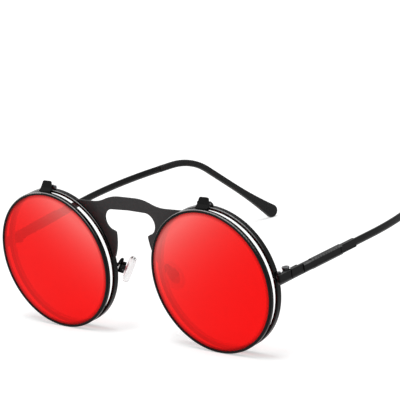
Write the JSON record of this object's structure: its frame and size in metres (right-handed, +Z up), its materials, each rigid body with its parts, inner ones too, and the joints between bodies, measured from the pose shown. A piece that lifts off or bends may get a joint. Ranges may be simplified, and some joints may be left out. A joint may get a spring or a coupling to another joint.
{
  "type": "flip-up sunglasses",
  "caption": "Round black metal spectacle frame with red tinted lenses hinged above clear ones, a keyhole bridge, folding temples with curved tips and rocking nose pads.",
  "frame": {"origin": "centre of the bounding box's footprint, on the table", "axes": "+Z up, the front faces -Y and the wearer's left is +X; the object stands as it does on a table, on the tinted rims' lower edges and the temple tips"},
  "size_m": [0.1368, 0.1436, 0.0545],
  "materials": {
    "black_metal": "gloss black lacquer",
    "charcoal_plate": "satin charcoal coat",
    "black_screw": "blackened steel",
    "red_lens": "red mirror coat on a tinted lens",
    "clear_lens": "clear polished lens",
    "tip_plastic": "matte black",
    "core_wire": "drawn wire",
    "pad_silicone": "clear soft silicone",
    "pad_metal": "plated sheet"
  },
  "bodies": {
    "front": {"bridge_plate": "charcoal_plate", "left_rim": "black_metal", "left_clear_lens": "clear_lens", "left_end_piece": "black_metal", "left_rim_lock": "black_metal", "left_lock_screw": "black_screw", "left_front_leaf": "black_metal", "left_temple_screw": "black_screw", "left_flip_bracket": "black_metal", "left_flip_screw": "black_screw", "left_pad_arm": "black_metal", "left_pad_screw": "black_screw", "right_rim": "black_metal", "right_clear_lens": "clear_lens", "right_end_piece": "black_metal", "right_rim_lock": "black_metal", "right_lock_screw": "black_screw", "right_front_leaf": "black_metal", "right_temple_screw": "black_screw", "right_flip_bracket": "black_metal", "right_flip_screw": "black_screw", "right_pad_arm": "black_metal", "right_pad_screw": "black_screw"},
    "left_flip": {"left_flip_rim": "black_metal", "left_flip_lens": "red_lens", "left_flip_tab": "black_metal"},
    "left_temple": {"left_temple_leaf": "black_metal", "left_temple_arm": "black_metal", "left_temple_sleeve": "black_metal", "left_tip_core": "core_wire", "left_temple_tip": "tip_plastic"},
    "left_pad": {"left_nose_pad": "pad_silicone", "left_pad_insert": "pad_metal"},
    "right_flip": {"right_flip_rim": "black_metal", "right_flip_lens": "red_lens", "right_flip_tab": "black_metal"},
    "right_temple": {"right_temple_leaf": "black_metal", "right_temple_arm": "black_metal", "right_temple_sleeve": "black_metal", "right_tip_core": "core_wire", "right_temple_tip": "tip_plastic"},
    "right_pad": {"right_nose_pad": "pad_silicone", "right_pad_insert": "pad_metal"}
  },
  "joints": [
    {"name": "left_flip_hinge", "type": "hinge", "parent": "front", "child": "left_flip", "pos_m": [0.036, -0.06764, 0.05211], "axis": [-1, 0, 0], "range_deg": [0, 100]},
    {"name": "right_flip_hinge", "type": "hinge", "parent": "front", "child": "right_flip", "pos_m": [-0.036, -0.06764, 0.05211], "axis": [-1, 0, 0], "range_deg": [0, 100]},
    {"name": "left_temple_hinge", "type": "hinge", "parent": "front", "child": "left_temple", "pos_m": [0.06163, -0.06134, 0.02877], "axis": [0, -0.0551, 0.9985], "range_deg": [0, 86]},
    {"name": "right_temple_hinge", "type": "hinge", "parent": "front", "child": "right_temple", "pos_m": [-0.06163, -0.06134, 0.02877], "axis": [0, 0.0551, -0.9985], "range_deg": [0, 78]},
    {"name": "left_pad_hinge", "type": "hinge", "parent": "front", "child": "left_pad", "pos_m": [0.0116, -0.0607, 0.0225], "axis": [-0.4755, -0.8002, -0.3654], "range_deg": [-8, 8]},
    {"name": "right_pad_hinge", "type": "hinge", "parent": "front", "child": "right_pad", "pos_m": [-0.0116, -0.0607, 0.0225], "axis": [-0.4755, 0.8002, 0.3654], "range_deg": [-8, 8]}
  ]
}
